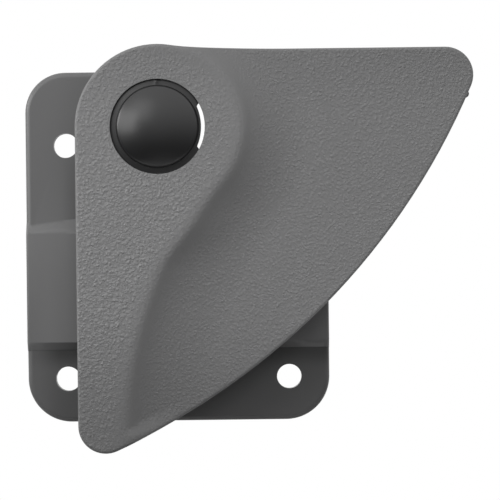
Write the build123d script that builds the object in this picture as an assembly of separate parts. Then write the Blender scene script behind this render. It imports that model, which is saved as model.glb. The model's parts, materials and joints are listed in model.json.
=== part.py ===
from build123d import *
import math
import os

# Swing latch for the door of a portable toilet: a moulded handle that turns on a riveted base plate.
# Its long grip hangs down, and its flat fin stands out to the right, behind the door frame.
#
# Every piece is drawn lying on its back, as on a bench: x to the right, y up the door, and z out of
# the door towards the user. stand_up() then sets it upright, so that z becomes -Y and y becomes +Z.
# The origin is the centre of the four rivet holes, on the plate's back face.
# Lengths are in millimetres. Angles are in degrees, anticlockwise as the user sees them.

# Base plate
HOLE_PITCH_X = 57.15
HOLE_PITCH_Y = 60.325
HOLE_RADIUS = 3.175
PLATE_THICKNESS = 3.2
SIDE_MARGIN = 10.4
TOP_MARGIN = 18.95
BOTTOM_MARGIN = 11.2
TOP_CORNER_RADIUS = 10.4
BOTTOM_CORNER_RADIUS = 11.2
PLATE_EDGE_RADIUS = 1.4
FOOT_THINNING = 0.8

# Arched rest pad across the plate, under the grip
PAD_CREST_TOP = 7.4
PAD_CREST_BOTTOM = -20.6
PAD_RAMP_RUN = 4.4
PAD_WALL_RUN = 2.2
PAD_RISE_MIDDLE = 4.2
PAD_RISE_SIDE = 1.0
PAD_FOOT_DIP = 0.05
PAD_FOOT_DIP_SIDE = 1.0
PAD_CORNER_RADIUS = 0.8
PAD_WALL = 2.6
PAD_RIB = 1.8
PAD_CELL_COLUMNS = 6
PAD_CELL_ROWS = 2

# Pivot, measured from the centre of the hole pattern
HUB_X = -3.75
HUB_Y = 33.4
COLLAR_WALL = 1.6
COLLAR_FRONT = 8.6
COUNTERBORE_DEPTH = 4.4

# Running clearances
TURNING_CLEARANCE = 0.05
SEAT_CLEARANCE = 0.05
CAP_CLEARANCE = 0.15
END_FLOAT = 0.1
BODY_CLEARANCE = 0.3

# Bushing and washers
BUSHING_WALL = 1.2
BUSHING_FLANGE_WIDTH = 1.35
BUSHING_FLANGE = 0.8
THRUST_WASHER_THICKNESS = 0.5
SPRING_WIDTH = 2.8
SPRING_THICKNESS = 0.6
SPRING_HEIGHT = 1.2

# Quarter turn stop
TURN_ANGLE = 90.0
STOP_MIDDLE = 45.0
STOP_WIDTH = 22.0
STOP_FLOAT = 1.0
STOP_LUG_WIDTH = 2.2
STOP_LUG_TIP = 4.4

# Handle, seen from the front and measured from the pivot
BOSS_RADIUS = 20.4
FIN_REACH = 79.0
FIN_DROP = 0.9
FIN_BLEND_RADIUS = 50.0
GRIP_REACH = 80.7
TIP_RADIUS = 6.8
BELLY_RADIUS = 175.0
FLANK_RADIUS = 100.0

# Handle, in depth
FIN_FRONT = 18.5
GRIP_FRONT = 28.0
DRAFT = 1.5
HANDLE_WALL = 2.8
HANDLE_EDGE_RADIUS = 0.8
COVE_WIDTH = 17.5
RIDGE_RADIUS = 1.5
RIDGE_OVERHANG = 0.85
HANDLE_RIB = 1.8
HANDLE_CELL = 11.0
GATE_RADIUS = 1.0
GATE_SETBACK = 1.9
GATE_LENGTH = 2.5

# Hub of the handle
MOUTH_RADIUS = 11.75
MOUTH_DEPTH = 2.2
MOUTH_LIP = 0.55
TUBE_WALL = 2.3
TUBE_END = 0.8
POCKET_INSET = 1.0
POCKET_WIDTH = 2.4
POCKET_SKIN = 0.6
POCKET_ROOF = 24.0
POCKET_COUNT = 8
POCKET_ANGLE = 30.0
SLEEVE_RADIUS = 7.0
SLEEVE_BACK = 3.0
SLEEVE_FRONT = 19.5
SPOKE_WIDTH = 5.0
SPOKE_BACK = 11.5
SPOKE_FRONT = 18.0
SPOKE_ANGLES = (60.0, 180.0, 300.0)
SOCKET_SIDE = 8.0
SOCKET_ROOF = 16.5
SCREW_HOLE_RADIUS = 3.3

# Retaining ring
RING_THICKNESS = 1.2
RING_GROOVE_DEPTH = 0.8
RING_WIDTH = 2.2
RING_SIDE_SHIFT = 0.5
RING_GAP_ANGLE = 24.0
RING_EAR_RADIUS = 1.7
RING_EAR_HOLE = 0.8
RING_OFFSET = 1.7

# Screw and washer
SCREW_RADIUS = 3.0
SCREW_HEAD_RADIUS = 5.2
SCREW_HEAD_HEIGHT = 3.2
SCREW_LENGTH = 8.0
SCREW_RECESS_RADIUS = 2.6
SCREW_RECESS_DEPTH = 1.8
WASHER_RADIUS = 6.4
WASHER_THICKNESS = 1.2

# Domed cap
CAP_FLANGE_FRONT = 27.4
CAP_FLANGE = 1.4
CAP_FLANGE_WIDTH = 0.94
CAP_SHOULDER = 1.2
CAP_CROWN = 2.8
CAP_SHOULDER_RADIUS = 1.5
CAP_WALL = 1.5
CAP_NOTCH_ANGLE = 60.0
CAP_LEG_ANGLE = 30.0
CAP_LEG_THICKNESS = 1.5
CAP_BARB = 0.5
CAP_BARB_HEIGHT = 2.2
CAP_GATE_RADIUS = 0.3
CAP_GATE_HEIGHT = 0.15

# Sizes that follow from the ones above
PLATE_HALF_WIDTH = HOLE_PITCH_X / 2 + SIDE_MARGIN
PLATE_TOP = HOLE_PITCH_Y / 2 + TOP_MARGIN
PLATE_BOTTOM = -HOLE_PITCH_Y / 2 - BOTTOM_MARGIN
FOOT_TOP = PAD_CREST_BOTTOM - PAD_WALL_RUN
TUBE_BORE = MOUTH_RADIUS + MOUTH_LIP
TUBE_RADIUS = TUBE_BORE + TUBE_WALL
BUSHING_BORE = TUBE_RADIUS + TURNING_CLEARANCE
BUSHING_RADIUS = BUSHING_BORE + BUSHING_WALL
BUSHING_FLANGE_RADIUS = BUSHING_RADIUS + BUSHING_FLANGE_WIDTH
SPRING_INNER = TUBE_RADIUS + 2 * TURNING_CLEARANCE
SPRING_OUTER = SPRING_INNER + SPRING_WIDTH
COUNTERBORE_RADIUS = SPRING_OUTER + BODY_CLEARANCE
COLLAR_RADIUS = COUNTERBORE_RADIUS + COLLAR_WALL
COLLAR_BORE = BUSHING_RADIUS + SEAT_CLEARANCE
STOP_RECESS_RADIUS = BUSHING_FLANGE_RADIUS + BODY_CLEARANCE
STOP_LUG_INNER = STOP_RECESS_RADIUS + BODY_CLEARANCE
POCKET_INNER = TUBE_RADIUS + POCKET_INSET
POCKET_OUTER = POCKET_INNER + POCKET_WIDTH
BOSS_CORE_RADIUS = POCKET_OUTER + POCKET_SKIN
CAP_FLANGE_RADIUS = MOUTH_RADIUS - CAP_CLEARANCE
CAP_DOME_RADIUS = CAP_FLANGE_RADIUS - CAP_FLANGE_WIDTH
BUSHING_FRONT = COLLAR_FRONT + BUSHING_FLANGE
HANDLE_BACK = BUSHING_FRONT + THRUST_WASHER_THICKNESS + END_FLOAT
RING_GROOVE_RADIUS = TUBE_RADIUS - RING_GROOVE_DEPTH
RING_FRONT = RING_OFFSET + RING_THICKNESS
FIN_TIP = Vector(FIN_REACH - TIP_RADIUS, BOSS_RADIUS - FIN_DROP - TIP_RADIUS)
GRIP_TIP = Vector(TIP_RADIUS - BOSS_RADIUS, TIP_RADIUS - GRIP_REACH)
BEYOND = 200.0


def stand_up(part):
    """Turns a piece that lies on its back upright, with its front towards -Y."""
    return Rot(90, 0, 0) * part


def at_hub(part):
    """Moves a piece that was drawn about the pivot to the pivot's place on the plate."""
    return Pos(HUB_X, HUB_Y, 0) * part


def disc(radius, low, high):
    """A round slab about the pivot."""
    return Pos(0, 0, low) * extrude(Circle(radius), high - low)


def ring(inner, outer, low, high):
    """A flat ring about the pivot."""
    return Pos(0, 0, low) * extrude(Circle(outer) - Circle(inner), high - low)


def pie(radius, middle, width):
    """A slice of a circle, width degrees wide, about the direction middle."""
    rim = CenterArc((0, 0), radius, middle - width / 2, width)
    return make_face(rim + Line((0, 0), rim @ 0) + Line(rim @ 1, (0, 0)))


def ring_slice(inner, outer, middle, width):
    """A slice of a flat ring, as a sketch."""
    return (Circle(outer) - Circle(inner)) & pie(2 * outer, middle, width)


def upright_profile(sketch, y=0.0):
    """Stands a sketch up, so that its second direction runs along z, at the given y."""
    return Plane(origin=(0, y, 0), x_dir=(1, 0, 0), z_dir=(0, -1, 0)) * sketch


def plate_outline():
    """The plate's rounded rectangle."""
    corners = (
        (-PLATE_HALF_WIDTH, PLATE_BOTTOM),
        (PLATE_HALF_WIDTH, PLATE_BOTTOM),
        (PLATE_HALF_WIDTH, PLATE_TOP),
        (-PLATE_HALF_WIDTH, PLATE_TOP),
    )
    radii = (BOTTOM_CORNER_RADIUS, BOTTOM_CORNER_RADIUS, TOP_CORNER_RADIUS, TOP_CORNER_RADIUS)
    return make_face(FilletPolyline(*corners, radius=radii, close=True))


def pad_section(side_rise, middle_rise, half_width, inset=0.0):
    """Cross section of the pad: from the plate's back face up to an arch over the plate's front."""
    side = (half_width, PLATE_THICKNESS + side_rise - inset)
    crown = (0, PLATE_THICKNESS + middle_rise - inset)
    top = ThreePointArc((-side[0], side[1]), crown, side)
    sides = Polyline(side, (half_width, 0), (-half_width, 0), (-side[0], side[1]))
    section = make_face(top + sides)
    return fillet(section.vertices().group_by(Axis.Y)[-1], PAD_CORNER_RADIUS)


def rest_pad():
    """Arched band, highest in the middle of the plate, with a long ramp above and a short one below.

    Both ramps dive into the plate, the upper one sooner at the sides, so that its foot is curved.
    """
    upper_foot = pad_section(-PAD_FOOT_DIP_SIDE, -PAD_FOOT_DIP, PLATE_HALF_WIDTH)
    lower_foot = pad_section(-2 * PAD_FOOT_DIP, -PAD_FOOT_DIP, PLATE_HALF_WIDTH)
    arch = pad_section(PAD_RISE_SIDE, PAD_RISE_MIDDLE, PLATE_HALF_WIDTH)
    stations = (
        upright_profile(upper_foot, PAD_CREST_TOP + PAD_RAMP_RUN),
        upright_profile(arch, PAD_CREST_TOP),
        upright_profile(arch, PAD_CREST_BOTTOM),
        upright_profile(lower_foot, FOOT_TOP),
    )
    return loft(stations, ruled=True)


def pad_cells():
    """The pad's hollow back, divided by ribs."""
    half_width = PLATE_HALF_WIDTH - PAD_WALL - PLATE_EDGE_RADIUS
    section = pad_section(PAD_RISE_SIDE, PAD_RISE_MIDDLE, half_width, PAD_WALL)
    top = PAD_CREST_TOP - PAD_WALL
    bottom = PAD_CREST_BOTTOM + PAD_WALL
    hollow = extrude(upright_profile(section, top), top - bottom)
    pitch_x = (2 * half_width + PAD_RIB) / PAD_CELL_COLUMNS
    pitch_y = (top - bottom + PAD_RIB) / PAD_CELL_ROWS
    cell = Box(pitch_x - PAD_RIB, pitch_y - PAD_RIB, BEYOND)
    middle = (top + bottom) / 2
    grid = [spot * cell for spot in GridLocations(pitch_x, pitch_y, PAD_CELL_COLUMNS, PAD_CELL_ROWS)]
    return [Pos(0, middle, 0) * one & hollow for one in grid]


def foot_wedge():
    """What is planed off the plate's front below the pad, so that it thins towards its bottom edge."""
    corners = (
        (FOOT_TOP, PLATE_THICKNESS),
        (PLATE_BOTTOM, PLATE_THICKNESS - FOOT_THINNING),
        (PLATE_BOTTOM - 1, PLATE_THICKNESS - FOOT_THINNING),
        (PLATE_BOTTOM - 1, PLATE_THICKNESS + 1),
        (FOOT_TOP, PLATE_THICKNESS + 1),
    )
    side = Plane(origin=(-BEYOND / 2, 0, 0), x_dir=(0, 1, 0), z_dir=(1, 0, 0))
    return extrude(side * make_face(Polyline(*corners, close=True)), BEYOND)


def base_plate():
    """Moulded plate: rivet holes, arched rest pad, and the collar that the handle turns in."""
    plate = extrude(plate_outline(), PLATE_THICKNESS) - foot_wedge()
    front_edges = plate.edges().filter_by(lambda edge: edge.center().Z > PLATE_THICKNESS / 2 + 0.01)
    front_edges = front_edges.filter_by(lambda edge: abs(edge.tangent_at(0.5).Z) < 0.5)
    rim = front_edges.filter_by(lambda edge: abs(edge.center().Y - FOOT_TOP) > 0.01)
    plate = fillet(rim, PLATE_EDGE_RADIUS)
    plate += rest_pad()
    plate -= pad_cells()

    recess_width = TURN_ANGLE + STOP_WIDTH + 2 * STOP_FLOAT
    recess_middle = STOP_MIDDLE - TURN_ANGLE / 2
    recess = extrude(ring_slice(STOP_RECESS_RADIUS, COLLAR_RADIUS + 1, recess_middle, recess_width), BEYOND)
    collar = disc(COLLAR_RADIUS, 0, COLLAR_FRONT) - Pos(0, 0, PLATE_THICKNESS) * recess
    plate += at_hub(collar)
    plate -= at_hub(disc(COLLAR_BORE, -1, COLLAR_FRONT + 1))
    plate -= at_hub(disc(COUNTERBORE_RADIUS, -1, COUNTERBORE_DEPTH))
    for spot in GridLocations(HOLE_PITCH_X, HOLE_PITCH_Y, 2, 2):
        plate -= spot * disc(HOLE_RADIUS, -1, PLATE_THICKNESS + 1)
    return plate


def pivot_bushing():
    """Flanged bearing sleeve, pressed into the collar from the front."""
    sleeve = ring(BUSHING_BORE, BUSHING_RADIUS, COUNTERBORE_DEPTH, BUSHING_FRONT)
    flange = ring(BUSHING_BORE, BUSHING_FLANGE_RADIUS, COLLAR_FRONT, BUSHING_FRONT)
    return at_hub(sleeve + flange)


def thrust_washer():
    """Flat washer between the bushing's flange and the back of the handle."""
    bore = BUSHING_BORE + TURNING_CLEARANCE
    return at_hub(ring(bore, BUSHING_FLANGE_RADIUS, BUSHING_FRONT, BUSHING_FRONT + THRUST_WASHER_THICKNESS))


def belly_centre():
    """Centre of the handle's long lower right edge, an arc that touches both tip circles from outside."""
    middle = (FIN_TIP + GRIP_TIP) / 2
    half = (FIN_TIP - GRIP_TIP) / 2
    outward = Vector(half.Y, -half.X).normalized()
    return middle - outward * math.sqrt((BELLY_RADIUS - TIP_RADIUS) ** 2 - half.length**2)


def handle_outline(inset):
    """The handle seen from the front, drawn in by inset all round.

    The fin's top edge lies a little below the top of the boss and runs up to it in a hollow blend.
    """
    side = BOSS_RADIUS - inset
    top = side - FIN_DROP
    tip = TIP_RADIUS - inset
    blend = FIN_BLEND_RADIUS + inset
    rise = top + blend
    blend_turn = math.degrees(math.acos(rise / (side + blend)))
    blend_x = math.sqrt((side + blend) ** 2 - rise**2)
    centre = belly_centre()
    fin_turn = heading(FIN_TIP - centre)
    grip_turn = heading(GRIP_TIP - centre)
    boss_arc = CenterArc((0, 0), side, 90 - blend_turn, 90 + blend_turn)
    grip_arc = CenterArc(GRIP_TIP, tip, 180, 180 + grip_turn)
    belly_arc = CenterArc(centre, BELLY_RADIUS - inset, grip_turn, fin_turn - grip_turn)
    fin_arc = CenterArc(FIN_TIP, tip, fin_turn, 90 - fin_turn)
    blend_arc = CenterArc((blend_x, rise), blend, 270, -blend_turn)
    left_edge = Line(boss_arc @ 1, grip_arc @ 0)
    fin_edge = Line(fin_arc @ 1, blend_arc @ 0)
    return make_face(boss_arc + left_edge + grip_arc + belly_arc + fin_arc + fin_edge + blend_arc)


def flank_centre():
    """Centre of the hollow curve of the grip's right flank, which touches the boss and the tip circle."""
    from_hub = FLANK_RADIUS + BOSS_RADIUS
    from_tip = FLANK_RADIUS + TIP_RADIUS
    span = GRIP_TIP.length
    along = (from_hub**2 - from_tip**2 + span**2) / (2 * span)
    across = math.sqrt(from_hub**2 - along**2)
    down = GRIP_TIP.normalized()
    return down * along + Vector(-down.Y, down.X) * across


def heading(vector):
    """Direction of a vector, in degrees."""
    return math.degrees(math.atan2(vector.Y, vector.X))


def cove_profile(ridge, inner, low, fin_front, grip_front):
    """Section through the grip's edge: flat top, rounded ridge, then a hollow curve down to the fin.

    The distances ridge and inner are from the axis that the section is turned about.
    """
    outward = math.copysign(1, ridge - inner)
    height = grip_front - fin_front
    radius = (COVE_WIDTH**2 + height**2) / (2 * height)
    half_angle = math.asin(COVE_WIDTH / radius) / 2
    toe = (ridge + outward * COVE_WIDTH, fin_front)
    middle = (toe[0] - outward * radius * math.sin(half_angle), fin_front + radius * (1 - math.cos(half_angle)))
    cove = ThreePointArc((ridge, grip_front), middle, toe)
    rest = Polyline(toe, (toe[0], low), (inner, low), (inner, grip_front), (ridge, grip_front))
    section = make_face(cove + rest)
    corner = section.vertices().sort_by_distance((ridge, grip_front))[0]
    return upright_profile(fillet(corner, RIDGE_RADIUS))


def handle_form(inset, low):
    """The handle as a full solid, drawn in by inset at the sides and the front, from low upwards."""
    fin_front = FIN_FRONT - inset
    grip_front = GRIP_FRONT - inset
    boss = BOSS_RADIUS + RIDGE_OVERHANG - inset
    tip = TIP_RADIUS + RIDGE_OVERHANG - inset
    flank = FLANK_RADIUS - RIDGE_OVERHANG + inset
    centre = flank_centre()
    core_inset = 2 * RIDGE_RADIUS - 1
    boss_turn = heading(centre)
    tip_turn = heading(centre - GRIP_TIP)
    flank_start = heading(centre * -1)
    flank_end = heading(GRIP_TIP - centre)
    flank_sweep = (flank_end - flank_start) % 360
    flank_sweep = min(flank_sweep, 360 - flank_sweep)

    boss_part = revolve(cove_profile(boss, 0, low, fin_front, grip_front), Axis.Z, 200 - boss_turn)
    tip_part = revolve(cove_profile(tip, 0, low, fin_front, grip_front), Axis.Z, 200)
    flank_part = revolve(
        cove_profile(flank, flank + core_inset + 1, low, fin_front, grip_front), Axis.Z, flank_sweep
    )
    core = grip_core(core_inset, boss, tip, flank, centre)
    solid = Pos(0, 0, low) * extrude(core, grip_front - low)
    solid += Pos(0, 0, low) * extrude(Rectangle(BEYOND, BEYOND), fin_front - low)
    solid += Rot(0, 0, boss_turn) * boss_part
    solid += Pos(GRIP_TIP) * Rot(0, 0, tip_turn - 200) * tip_part
    solid += Pos(centre) * Rot(0, 0, flank_start) * flank_part

    growth = (GRIP_FRONT - low) * math.tan(math.radians(DRAFT))
    sides = Pos(0, 0, low) * extrude(handle_outline(inset - growth), GRIP_FRONT + 1 - low, taper=DRAFT)
    return solid & sides


def grip_core(inset, boss, tip, flank, centre):
    """The flat middle of the grip's front: a teardrop, drawn in by inset, that runs past the left edge."""
    to_boss = centre.normalized() * (boss - inset)
    to_tip = GRIP_TIP + (centre - GRIP_TIP).normalized() * (tip - inset)
    boss_arc = CenterArc((0, 0), boss - inset, heading(centre), 180 - heading(centre))
    tip_end = heading(centre - GRIP_TIP) % 360
    tip_arc = CenterArc(GRIP_TIP, tip - inset, 180, tip_end - 180)
    hollow = to_tip - centre
    start = heading(hollow) % 360
    end = heading(to_boss - centre) % 360
    flank_arc = CenterArc(centre, flank + inset, start, end - start)
    left = 2 * BOSS_RADIUS
    straight = Polyline(boss_arc @ 1, (-left, 0), (-left, GRIP_TIP.Y), tip_arc @ 0)
    return make_face(boss_arc + straight + tip_arc + flank_arc)


def front_rim(form):
    """The edges where the sides of the handle's form meet its front."""
    sides = form.faces().filter_by(lambda face: abs(face.normal_at().Z) < 0.1)
    edges = [edge for side in sides for edge in side.edges()]
    return [edge for edge in edges if min((edge @ 0).Z, (edge @ 1).Z) > FIN_FRONT - 0.01]


def handle_cells():
    """The handle's hollow back: its form drawn in by the wall, divided by crossed ribs."""
    hollow = handle_form(HANDLE_WALL, HANDLE_BACK - 1)
    hollow -= disc(BOSS_CORE_RADIUS, 0, GRIP_FRONT)
    pitch = HANDLE_CELL + HANDLE_RIB
    count = 2 * math.ceil(max(FIN_REACH, GRIP_REACH) / pitch) + 1
    rib = Box(HANDLE_RIB, BEYOND, BEYOND)
    across = Box(BEYOND, HANDLE_RIB, BEYOND)
    for spot in GridLocations(pitch, 0, count, 1):
        hollow -= spot * rib
    for spot in GridLocations(0, pitch, 1, count):
        hollow -= spot * across
    return hollow


def handle_hub():
    """Tube that turns in the bushing, with a three-spoked socket inside it for the outside handle."""
    tube = ring(TUBE_BORE, TUBE_RADIUS, TUBE_END, HANDLE_BACK + 1)
    tube -= ring(RING_GROOVE_RADIUS, TUBE_RADIUS + 1, RING_OFFSET, RING_FRONT)
    hub = tube + disc(SLEEVE_RADIUS, SLEEVE_BACK, SLEEVE_FRONT)
    reach = (TUBE_BORE + TUBE_RADIUS) / 2
    spoke = Pos(reach / 2, 0, (SPOKE_BACK + SPOKE_FRONT) / 2) * Box(reach, SPOKE_WIDTH, SPOKE_FRONT - SPOKE_BACK)
    for angle in SPOKE_ANGLES:
        hub += Rot(0, 0, angle) * spoke
    socket = Pos(0, 0, -1) * extrude(Rectangle(SOCKET_SIDE, SOCKET_SIDE), SOCKET_ROOF + 1)
    return hub - socket - disc(SCREW_HOLE_RADIUS, 0, GRIP_FRONT)


def handle():
    """Moulded handle: teardrop grip, hollow flank, flat fin, ribbed back and hub in one piece."""
    form = handle_form(0, HANDLE_BACK)
    body = fillet(front_rim(form), HANDLE_EDGE_RADIUS) - handle_cells()
    body -= disc(TUBE_BORE, 0, GRIP_FRONT - MOUTH_DEPTH)
    body -= disc(MOUTH_RADIUS, 0, GRIP_FRONT + 1)
    pocket = Pos(0, 0, HANDLE_BACK - 1) * extrude(
        ring_slice(POCKET_INNER, POCKET_OUTER, 0, POCKET_ANGLE), POCKET_ROOF - HANDLE_BACK + 1
    )
    for turn in PolarLocations(0, POCKET_COUNT):
        body -= turn * pocket
    body += handle_hub()
    lug = ring_slice(STOP_LUG_INNER, STOP_LUG_INNER + STOP_LUG_WIDTH, STOP_MIDDLE, STOP_WIDTH)
    body += Pos(0, 0, STOP_LUG_TIP) * extrude(lug, HANDLE_BACK + 1 - STOP_LUG_TIP)
    outward = (FIN_TIP - belly_centre()).normalized()
    gate = FIN_TIP + outward * TIP_RADIUS + Vector(outward.Y, -outward.X) * GATE_SETBACK
    body += Pos(gate) * disc(GATE_RADIUS, HANDLE_BACK, HANDLE_BACK + GATE_LENGTH)
    return at_hub(body)


def retaining_ring():
    """Spring ring in the tube's groove, with an ear each side of its gap."""
    outer = RING_GROOVE_RADIUS + RING_WIDTH - RING_SIDE_SHIFT
    flat = Pos(0, -RING_SIDE_SHIFT) * Circle(outer)
    half_gap = RING_GAP_ANGLE / 2
    ear_distance = RING_GROOVE_RADIUS + RING_EAR_RADIUS
    ear_turn = half_gap + math.degrees(math.asin(RING_EAR_RADIUS / ear_distance))
    ears = [Rot(0, 0, 90 + side * ear_turn) * Pos(ear_distance, 0) for side in (-1, 1)]
    for ear in ears:
        flat += ear * Circle(RING_EAR_RADIUS)
    flat -= Circle(RING_GROOVE_RADIUS)
    flat -= pie(2 * outer, 90, RING_GAP_ANGLE)
    for ear in ears:
        flat -= ear * Circle(RING_EAR_HOLE)
    return at_hub(Pos(0, 0, RING_OFFSET) * extrude(flat, RING_THICKNESS))


def spring_washer():
    """Coned washer that keeps the handle from rattling, between the ring and the collar."""
    rise = SPRING_HEIGHT - SPRING_THICKNESS
    corners = (
        (SPRING_INNER, RING_FRONT),
        (SPRING_OUTER, RING_FRONT + rise),
        (SPRING_OUTER, RING_FRONT + SPRING_HEIGHT),
        (SPRING_INNER, RING_FRONT + SPRING_THICKNESS),
    )
    return at_hub(revolve(upright_profile(make_face(Polyline(*corners, close=True))), Axis.Z))


def screw_washer():
    """Plain washer under the screw's head, on the front of the handle's socket."""
    return at_hub(ring(SCREW_HOLE_RADIUS, WASHER_RADIUS, SLEEVE_FRONT, SLEEVE_FRONT + WASHER_THICKNESS))


def spindle_screw():
    """Screw that draws the outside handle's spindle into the socket."""
    seat = SLEEVE_FRONT + WASHER_THICKNESS
    head = disc(SCREW_HEAD_RADIUS, seat, seat + SCREW_HEAD_HEIGHT)
    head = fillet(head.edges().group_by(Axis.Z)[-1], SCREW_HEAD_HEIGHT / 3)
    recess = RegularPolygon(SCREW_RECESS_RADIUS, 6)
    head -= Pos(0, 0, seat + SCREW_HEAD_HEIGHT - SCREW_RECESS_DEPTH) * extrude(recess, SCREW_HEAD_HEIGHT)
    return at_hub(head + disc(SCREW_RADIUS, seat - SCREW_LENGTH, seat))


def hub_cap():
    """Domed cap that snaps into the hub's mouth: three barbed legs, and a pry notch in its flange."""
    flange_back = CAP_FLANGE_FRONT - CAP_FLANGE
    outside = dome_section(CAP_DOME_RADIUS, CAP_FLANGE_FRONT + CAP_SHOULDER, CAP_CROWN, flange_back)
    cap = revolve(outside, Axis.Z)
    flange = disc(CAP_FLANGE_RADIUS, flange_back, CAP_FLANGE_FRONT)
    notch = ring_slice(CAP_DOME_RADIUS, 2 * CAP_FLANGE_RADIUS, 0, CAP_NOTCH_ANGLE)
    cap += flange - Pos(0, 0, flange_back - 1) * extrude(notch, CAP_FLANGE + 2)
    shoulder = CAP_FLANGE_FRONT + CAP_SHOULDER - CAP_WALL
    cap -= revolve(dome_section(CAP_DOME_RADIUS - CAP_WALL, shoulder, CAP_CROWN, flange_back - 1), Axis.Z)

    leg_outer = CAP_FLANGE_RADIUS - 2 * SEAT_CLEARANCE
    leg = ring_slice(leg_outer - CAP_LEG_THICKNESS, leg_outer, 0, CAP_LEG_ANGLE)
    leg = Pos(0, 0, SPOKE_FRONT) * extrude(leg, flange_back - SPOKE_FRONT)
    lip = GRIP_FRONT - MOUTH_DEPTH - SEAT_CLEARANCE
    tooth = ((leg_outer - 1, lip), (leg_outer + CAP_BARB, lip), (leg_outer - 1, lip - CAP_BARB_HEIGHT))
    barb = revolve(upright_profile(make_face(Polyline(*tooth, close=True))), Axis.Z, CAP_LEG_ANGLE)
    leg += Rot(0, 0, -CAP_LEG_ANGLE / 2) * barb
    for angle in SPOKE_ANGLES:
        cap += Rot(0, 0, angle) * leg
    gate = disc(CAP_GATE_RADIUS, flange_back, CAP_FLANGE_FRONT + CAP_GATE_HEIGHT)
    cap += Pos(0, (CAP_DOME_RADIUS + CAP_FLANGE_RADIUS) / 2) * gate
    return at_hub(cap)


def dome_section(radius, shoulder, crown, low):
    """Half section of a dome with a rounded shoulder, from low up to its crown."""
    bulge = (radius**2 + crown**2) / (2 * crown)
    half_angle = math.asin(radius / bulge) / 2
    middle = (bulge * math.sin(half_angle), shoulder + crown - bulge * (1 - math.cos(half_angle)))
    top = ThreePointArc((0, shoulder + crown), middle, (radius, shoulder))
    section = make_face(top + Polyline((radius, shoulder), (radius, low), (0, low), (0, shoulder + crown)))
    corner = section.vertices().sort_by_distance((radius, shoulder))[0]
    return upright_profile(fillet(corner, CAP_SHOULDER_RADIUS))


PIECES = (
    base_plate,
    pivot_bushing,
    thrust_washer,
    handle,
    retaining_ring,
    spring_washer,
    screw_washer,
    spindle_screw,
    hub_cap,
)

os.makedirs("parts", exist_ok=True)
for piece in PIECES:
    export_step(stand_up(piece()), f"parts/{piece.__name__}.step")
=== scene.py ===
"""Looks of the portable toilet latch: finishes, studio and camera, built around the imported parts."""

import json
import logging
import math
from dataclasses import dataclass, field
from enum import Enum

import bmesh
import bpy
from mathutils import Matrix, Vector


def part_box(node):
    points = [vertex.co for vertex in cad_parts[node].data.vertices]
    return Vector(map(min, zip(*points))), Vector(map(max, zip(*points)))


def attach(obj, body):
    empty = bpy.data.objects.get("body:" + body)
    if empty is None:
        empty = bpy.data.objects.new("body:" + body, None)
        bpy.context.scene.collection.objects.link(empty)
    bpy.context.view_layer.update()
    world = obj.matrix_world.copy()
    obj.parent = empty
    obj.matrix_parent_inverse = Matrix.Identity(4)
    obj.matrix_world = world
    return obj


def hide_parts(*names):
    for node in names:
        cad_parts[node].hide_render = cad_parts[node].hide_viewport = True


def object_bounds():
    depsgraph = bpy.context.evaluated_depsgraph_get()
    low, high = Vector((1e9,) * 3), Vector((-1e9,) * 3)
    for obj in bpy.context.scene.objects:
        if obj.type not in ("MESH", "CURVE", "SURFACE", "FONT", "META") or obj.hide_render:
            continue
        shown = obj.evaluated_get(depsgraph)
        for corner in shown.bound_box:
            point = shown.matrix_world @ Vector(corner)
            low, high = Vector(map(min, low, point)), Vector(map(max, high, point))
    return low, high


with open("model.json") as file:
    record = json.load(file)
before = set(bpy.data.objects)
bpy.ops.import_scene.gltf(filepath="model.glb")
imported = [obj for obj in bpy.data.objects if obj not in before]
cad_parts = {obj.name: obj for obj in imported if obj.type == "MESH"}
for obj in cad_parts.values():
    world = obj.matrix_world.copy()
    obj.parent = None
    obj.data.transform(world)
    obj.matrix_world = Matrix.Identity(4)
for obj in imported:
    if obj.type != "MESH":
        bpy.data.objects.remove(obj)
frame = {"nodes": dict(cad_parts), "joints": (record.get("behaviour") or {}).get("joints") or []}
CAD_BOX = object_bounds()
MM = 0.001

# Nearly all the values of a noise lie between these two.
NOISE_SPAN = (0.3, 0.7)

log = logging.getLogger("latch")


class Body(Enum):
    """The two bodies that the latch's one joint divides."""

    BASE = "base"
    HANDLE = "turning_handle"


class Slot(Enum):
    """The record's material slots."""

    PLATE = "plate_plastic"
    HANDLE = "handle_plastic"
    CAP = "cap_plastic"
    BEARING = "bearing_plastic"
    STEEL = "steel"


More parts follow.
